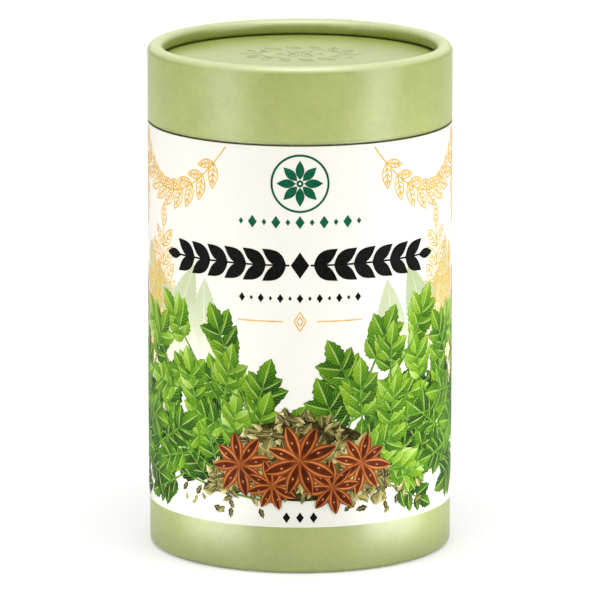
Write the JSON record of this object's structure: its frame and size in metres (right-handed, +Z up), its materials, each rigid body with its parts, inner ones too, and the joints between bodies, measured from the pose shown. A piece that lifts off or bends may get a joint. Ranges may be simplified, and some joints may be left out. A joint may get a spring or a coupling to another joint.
{
  "type": "paperboard herb canister",
  "caption": "Round paper-covered board canister for dried herbs, with a rolled bead round a recessed push-on lid, a printed wrap label and a foil lining.",
  "frame": {"origin": "centre of the ring that the canister stands on, in the plane of the surface it stands on", "axes": "+Z up along the canister's axis, through the lid; -Y towards the viewer of the picture"},
  "size_m": [0.1, 0.1, 0.167],
  "materials": {
    "green_paper": "satin",
    "label_paper": "satin",
    "kraft_board": "matte",
    "white_board": "matte",
    "foil": "satin"
  },
  "bodies": {
    "canister": {"body_tube": "kraft_board", "body_cover_paper": "green_paper", "label": "label_paper", "neck_tube": "white_board", "foil_liner": "foil", "base_disc": "kraft_board", "base_disc_paper": "green_paper"},
    "lid": {"lid_tube": "kraft_board", "lid_cover_paper": "green_paper", "lid_disc": "kraft_board", "lid_disc_paper": "green_paper"}
  },
  "joints": [
    {"name": "lid_slide", "type": "slide", "parent": "canister", "child": "lid", "axis": [0, 0, 1], "range_m": [0, 0.06]}
  ]
}
